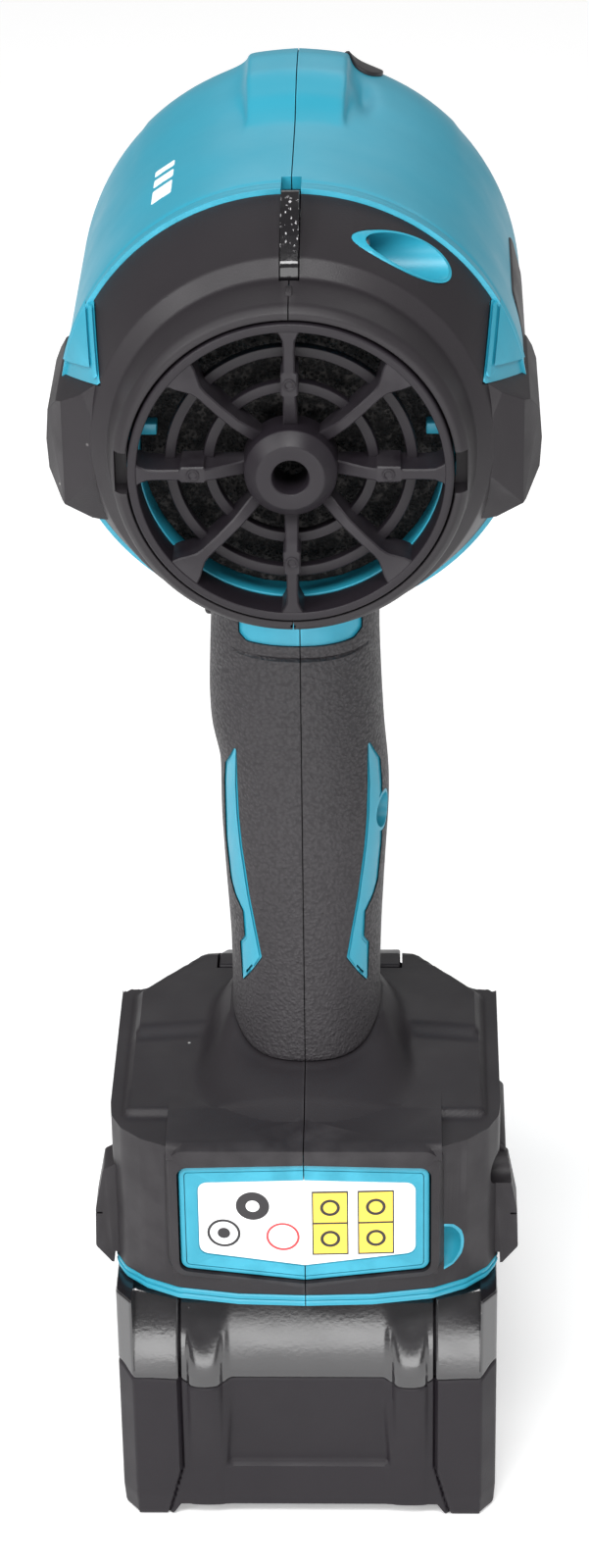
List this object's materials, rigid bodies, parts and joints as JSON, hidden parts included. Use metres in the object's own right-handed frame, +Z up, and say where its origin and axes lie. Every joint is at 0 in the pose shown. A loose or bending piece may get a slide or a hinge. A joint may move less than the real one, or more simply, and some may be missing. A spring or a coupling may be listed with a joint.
{
  "type": "cordless air duster",
  "caption": "Pistol-grip cordless blower with a round grilled rear inlet, a front nozzle, a hanging loop and a slide-on battery it stands on.",
  "frame": {"origin": "on the flat underside of the battery, below the middle of the grip", "axes": "+Z up from the battery to the blower body, +Y towards the nozzle, +X to the tool's right side"},
  "size_m": [0.1, 0.2042, 0.324],
  "materials": {
    "housing_plastic": "satin moulded plastic, fine grain",
    "dark_plastic": "matt grained plastic",
    "soft_grip": "textured soft rubber",
    "gloss_dark_plastic": "semi-gloss plastic",
    "filter_foam": "open-cell foam",
    "steel": "plain steel",
    "copper_winding": "enamelled copper winding",
    "grey_plastic": "matt grey plastic",
    "alloy": "cast alloy",
    "lead_cover": "insulated lead",
    "cell_wrap": "wrapped cell",
    "circuit_board": "solder-masked board",
    "terminal_metal": "plated contact",
    "label_white": "printed label film",
    "lamp_lens": "translucent lens"
  },
  "bodies": {
    "tool": {"base_cover_left": "dark_plastic", "base_cover_right": "dark_plastic", "bearing_front": "steel", "bearing_rear": "steel", "control_panel": "grey_plastic", "controller": "alloy", "fan_case": "dark_plastic", "grip_left": "soft_grip", "grip_right": "soft_grip", "housing_left": "housing_plastic", "housing_right": "housing_plastic", "label_plate": "label_white", "lead_left": "lead_cover", "lead_right": "lead_cover", "level_lamp": "lamp_lens", "loop_pin": "steel", "motor_cap": "dark_plastic", "motor_stator": "copper_winding", "outlet_collar": "dark_plastic", "screw_base_front": "steel", "screw_base_rear": "steel", "screw_body_front": "steel", "screw_grip_middle": "steel", "screw_grip_top": "steel", "screw_shoulder": "steel", "shoulder_left": "dark_plastic", "shoulder_right": "dark_plastic", "switch_body": "dark_plastic", "terminal_block": "dark_plastic", "trigger_spring": "steel"},
    "inlet": {"inlet_cover": "dark_plastic", "dust_filter": "filter_foam"},
    "loop": {"hanging_loop": "gloss_dark_plastic"},
    "rotor": {"motor_rotor": "steel", "motor_shaft": "steel", "fan_impeller": "grey_plastic"},
    "outlet_nozzle": {"nozzle": "soft_grip"},
    "trigger_key": {"trigger": "dark_plastic"},
    "lock_key": {"lock_button": "dark_plastic"},
    "power_key": {"power_button": "grey_plastic"},
    "mode_key": {"mode_button": "grey_plastic"},
    "battery": {"battery_lower": "dark_plastic", "battery_upper": "gloss_dark_plastic", "battery_board": "circuit_board", "battery_terminals": "terminal_metal", "release_spring": "steel", "cell_00": "cell_wrap", "cell_01": "cell_wrap", "cell_02": "cell_wrap", "cell_03": "cell_wrap", "cell_04": "cell_wrap", "cell_10": "cell_wrap", "cell_11": "cell_wrap", "cell_12": "cell_wrap", "cell_13": "cell_wrap", "cell_14": "cell_wrap"},
    "release_key": {"release_button": "grey_plastic"}
  },
  "joints": [
    {"name": "inlet_cover_turn", "type": "hinge", "parent": "tool", "child": "inlet", "pos_m": [0, -0.07, 0.2716], "axis": [0, 1, 0], "range_deg": [0, 20]},
    {"name": "loop_swing", "type": "hinge", "parent": "tool", "child": "loop", "pos_m": [0, -0.0385, 0.3126], "axis": [-1, 0, 0], "range_deg": [0, 60]},
    {"name": "fan_spin", "type": "hinge", "parent": "tool", "child": "rotor", "pos_m": [0, 0, 0.2716], "axis": [0, 1, 0], "continuous": true},
    {"name": "nozzle_pull", "type": "slide", "parent": "tool", "child": "outlet_nozzle", "axis": [0, 1, 0], "range_m": [0, 0.03]},
    {"name": "trigger_pull", "type": "slide", "parent": "tool", "child": "trigger_key", "axis": [0, -1, 0], "range_m": [0, 0.006], "stiffness_N_per_m": 900, "springref_m": -0.003, "deforming": ["trigger_spring"]},
    {"name": "lock_push", "type": "slide", "parent": "tool", "child": "lock_key", "axis": [1, 0, 0], "range_m": [0, 0.003], "stiffness_N_per_m": 500, "springref_m": -0.002},
    {"name": "power_push", "type": "slide", "parent": "tool", "child": "power_key", "axis": [0, 0, -1], "range_m": [0, 0.0008], "stiffness_N_per_m": 800, "springref_m": -0.001},
    {"name": "mode_push", "type": "slide", "parent": "tool", "child": "mode_key", "axis": [0, 0, -1], "range_m": [0, 0.0008], "stiffness_N_per_m": 800, "springref_m": -0.001},
    {"name": "battery_slide", "type": "slide", "parent": "tool", "child": "battery", "axis": [0, 1, 0], "range_m": [0, 0.12]},
    {"name": "release_push", "type": "slide", "parent": "battery", "child": "release_key", "axis": [0, 0, -1], "range_m": [0, 0.004], "stiffness_N_per_m": 900, "springref_m": -0.003, "deforming": ["release_spring"]}
  ]
}
